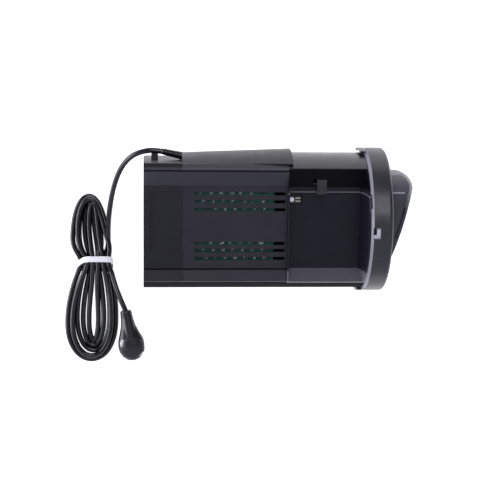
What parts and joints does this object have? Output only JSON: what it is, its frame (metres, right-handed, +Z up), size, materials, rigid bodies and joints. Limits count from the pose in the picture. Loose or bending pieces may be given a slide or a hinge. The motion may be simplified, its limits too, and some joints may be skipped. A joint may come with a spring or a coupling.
{
  "type": "wave maker pump",
  "caption": "Cylindrical wave maker pump with bracket pocket, twist lock ring, swivelling wedge outlet and a tied mains lead.",
  "frame": {"origin": "centre of the pump's footprint, on the surface that its feet stand on, without the mains lead", "axes": "+X along the body towards the outlet, +Y towards the cable side, +Z up through the bracket pocket"},
  "size_m": [0.4695, 0.3177, 0.195],
  "materials": {
    "housing_black": "moulded satin black",
    "front_black": "moulded satin black",
    "ring_black": "moulded satin black",
    "nozzle_black": "moulded satin black",
    "contact_black": "moulded black",
    "lug_grey": "moulded light grey",
    "seal_rubber": "soft black",
    "pad_rubber": "soft black",
    "screw_steel": "stainless",
    "contact_steel": "bright stainless",
    "core_steel": "laminated",
    "shaft_steel": "ground",
    "magnet_grey": "moulded ferrite",
    "bush_ceramic": "ceramic white",
    "winding_copper": "enamelled copper",
    "motor_plastic": "moulded dark grey",
    "impeller_plastic": "moulded grey",
    "board_green": "solder mask green",
    "chip_mixed": "small parts",
    "capacitor_sleeve": "dark sleeve",
    "lead_insulation": "wire insulation",
    "cord_rubber": "satin black sheath",
    "plug_rubber": "satin black moulding",
    "plug_metal": "nickel plated",
    "tie_white": "white band"
  },
  "bodies": {
    "housing": {"rear_shell": "housing_black", "end_cap": "housing_black", "cap_screws": "screw_steel", "side_cover": "housing_black", "front_housing": "front_black", "case_bosses": "housing_black", "case_screws": "screw_steel", "housing_seal": "seal_rubber", "intake_grille": "front_black", "contact_block": "contact_black", "contact_screw": "contact_steel", "contact_strips": "contact_steel", "rear_foot": "housing_black", "front_foot": "front_black", "foot_pads": "pad_rubber", "bayonet_lugs": "lug_grey", "seal_ring": "seal_rubber", "motor_case": "motor_plastic", "motor_cover": "motor_plastic", "rotor_can": "motor_plastic", "stator_core": "core_steel", "stator_windings": "winding_copper", "rear_bush": "bush_ceramic", "front_bush": "bush_ceramic", "wire_grommet": "seal_rubber", "motor_leads": "lead_insulation", "circuit_board": "board_green", "board_screws": "screw_steel", "board_chips": "chip_mixed", "capacitors": "capacitor_sleeve", "transformer": "core_steel", "terminal_block": "motor_plastic", "board_cable": "lead_insulation", "latch_spring": "contact_steel", "cord_clip": "housing_black", "cable_gland": "cord_rubber", "inner_lead": "cord_rubber", "cord_lead": "cord_rubber", "cord_hank": "cord_rubber", "cord_tail": "cord_rubber", "cord_tie": "tie_white", "plug_body": "plug_rubber", "plug_pins": "plug_metal", "plug_earth_clips": "plug_metal"},
    "rotor": {"rotor_shaft": "shaft_steel", "rotor_magnet": "magnet_grey", "impeller": "impeller_plastic", "impeller_nut": "impeller_plastic"},
    "lock_ring": {"lock_ring": "ring_black"},
    "nozzle": {"outlet_nozzle": "nozzle_black", "outlet_grille": "nozzle_black"},
    "latch": {"latch_tab": "front_black"}
  },
  "joints": [
    {"name": "rotor_spin", "type": "hinge", "parent": "housing", "child": "rotor", "pos_m": [0.06, 0, 0.099], "axis": [1, 0, 0], "continuous": true},
    {"name": "ring_twist", "type": "hinge", "parent": "housing", "child": "lock_ring", "pos_m": [0.126, 0, 0.099], "axis": [1, 0, 0], "range_deg": [0, 25]},
    {"name": "nozzle_swivel", "type": "hinge", "parent": "housing", "child": "nozzle", "pos_m": [0.131, 0, 0.099], "axis": [1, 0, 0], "continuous": true},
    {"name": "latch_press", "type": "slide", "parent": "housing", "child": "latch", "axis": [0, 1, 0], "range_m": [0, 0.004], "stiffness_N_per_m": 500, "deforming": ["latch_spring"]}
  ]
}
